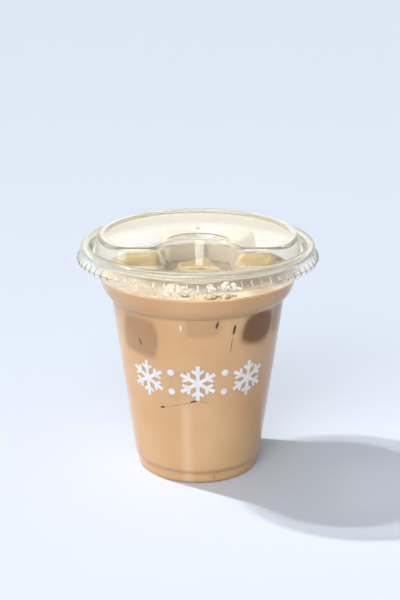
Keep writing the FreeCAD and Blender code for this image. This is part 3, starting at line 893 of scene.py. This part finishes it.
# a tenth of the ink lies in the wall, so that no gap shows under it
INK_OUT = INK * 0.4
for vert in band.verts:
    level = PRINT_LEVEL + vert.co.y
    away = wall_radius(level) + CUP_WALL + vert.co.z + INK_OUT
    bearing = vert.co.x / wall_radius(PRINT_LEVEL) - math.pi / 2
    vert.co = (away * math.cos(bearing), away * math.sin(bearing), level)
piece("printed_band", band, ink, slot="clear_cup", smooth=False)

# %% [markdown]
# ## The floor
#
# The cup needs something to stand on that takes its shadow and shows through the clear parts.
# A modelled table would draw the eye away, so it is one wide plain sheet, pale and matt.

# %% Floor
floor_finish, nodes, links, shader = new_finish(
    "pale_floor", Base_Color=(0.80, 0.87, 0.98, 1), Roughness=0.9, Specular_IOR_Level=0.1)
floor_skin = bmesh.new()
bmesh.ops.create_grid(floor_skin, x_segments=1, y_segments=1, size=6)
floor_mesh = bpy.data.meshes.new("floor")
floor_skin.to_mesh(floor_mesh)
floor_skin.free()
floor_mesh.materials.append(floor_finish)
floor = bpy.data.objects.new("floor", floor_mesh)
bpy.context.scene.collection.objects.link(floor)
print("floor laid, level with the foot of the cup")

# %% [markdown]
# ## The sky
#
# Clear plastic shows hardly anything but what is round it. Under one even sky its beads and
# ribs would vanish. So the world has two parts: a pale sky that lights everything softly, and,
# for shiny faces only, pale walls that are brightest a little above the horizon.

# %% Sky and walls
SKY_STRENGTH = 0.30
WALL_STRENGTH = 1.25
world = bpy.data.worlds.new("pale_sky")
world.use_nodes = True
sky = world.node_tree.nodes["Background"]
sky.inputs["Color"].default_value = (0.95, 0.97, 1.0, 1)
sky.inputs["Strength"].default_value = SKY_STRENGTH
bpy.context.scene.world = world

walls = world.node_tree.nodes.new("ShaderNodeBackground")
way = world.node_tree.nodes.new("ShaderNodeTexCoord")
split = world.node_tree.nodes.new("ShaderNodeSeparateXYZ")
glow = world.node_tree.nodes.new("ShaderNodeValToRGB")
glow.color_ramp.elements[0].position = 0.05
glow.color_ramp.elements[0].color = (0.5, 0.5, 0.5, 1)
glow.color_ramp.elements[1].position = 0.75
glow.color_ramp.elements[1].color = (0.45, 0.45, 0.45, 1)
for height in (0.20, 0.42):
    glow.color_ramp.elements.new(height).color = (1.0, 0.985, 0.94, 1)
walls.inputs["Strength"].default_value = WALL_STRENGTH
rays = world.node_tree.nodes.new("ShaderNodeLightPath")
either = world.node_tree.nodes.new("ShaderNodeMixShader")
links = world.node_tree.links
links.new(way.outputs["Generated"], split.inputs["Vector"])
links.new(split.outputs["Z"], glow.inputs["Fac"])
links.new(glow.outputs["Color"], walls.inputs["Color"])
links.new(rays.outputs["Is Glossy Ray"], either.inputs["Fac"])
links.new(sky.outputs["Background"], either.inputs[1])
links.new(walls.outputs["Background"], either.inputs[2])
links.new(either.outputs["Shader"], world.node_tree.nodes["World Output"].inputs["Surface"])
print("the sky lights at", SKY_STRENGTH, "and the walls reflect at", WALL_STRENGTH)

# %% [markdown]
# ## Lamps
#
# A hard light from behind and left, like the sun, casts the shadow and makes the lid shine. A
# wide soft one from the front and left keeps the near side from going dull. A small one high
# in front is there for its reflection alone, an upright bright streak in the lip recess.

# %% Lamps
def lamp(name, kind, power, towards, distance, size):
    """A lamp that shines from the direction towards. Size is a sun's angle, or the two sides
    of an area lamp."""
    light = bpy.data.lights.new(name, kind)
    light.energy = power
    if kind == "SUN":
        light.angle = size
    else:
        light.shape = "RECTANGLE"
        light.size, light.size_y = size
    made = bpy.data.objects.new(name, light)
    made.location = towards.normalized() * distance
    made.rotation_euler = towards.to_track_quat("Z", "Y").to_euler()
    made.visible_camera = False
    bpy.context.scene.collection.objects.link(made)


lamp("sun", "SUN", 2.0, Vector((-0.56, 0.217, 0.80)), 1.0, math.radians(2))
lamp("front_fill", "SUN", 1.02, Vector((-0.46, -0.84, 0.34)), 1.0, math.radians(41))
lamp("recess_glint", "AREA", 2.2, Vector((-0.07, -0.70, 0.72)), 1.2, (0.42, 0.3))
print("lamps:", [item.name for item in bpy.data.lights])

# %% [markdown]
# ## The camera
#
# A long lens from a little above shows the cup nearly upright, with its sides hardly running
# together, and still looks down on the lid far enough to see the ice under it.

# %% Camera
LOOK_DOWN = 17.98
eye = bpy.data.cameras.new("camera")
eye.lens = 78
eye.sensor_width = 36
camera = bpy.data.objects.new("camera", eye)
camera.location = (0.0009, -0.5289, 0.2455)
camera.rotation_euler = (math.radians(90 - LOOK_DOWN), 0, 0)
bpy.context.scene.collection.objects.link(camera)
bpy.context.scene.camera = camera
bpy.context.scene.view_settings.view_transform = "Standard"
print("camera stands", round(camera.location.length, 3), "m from the foot of the cup")
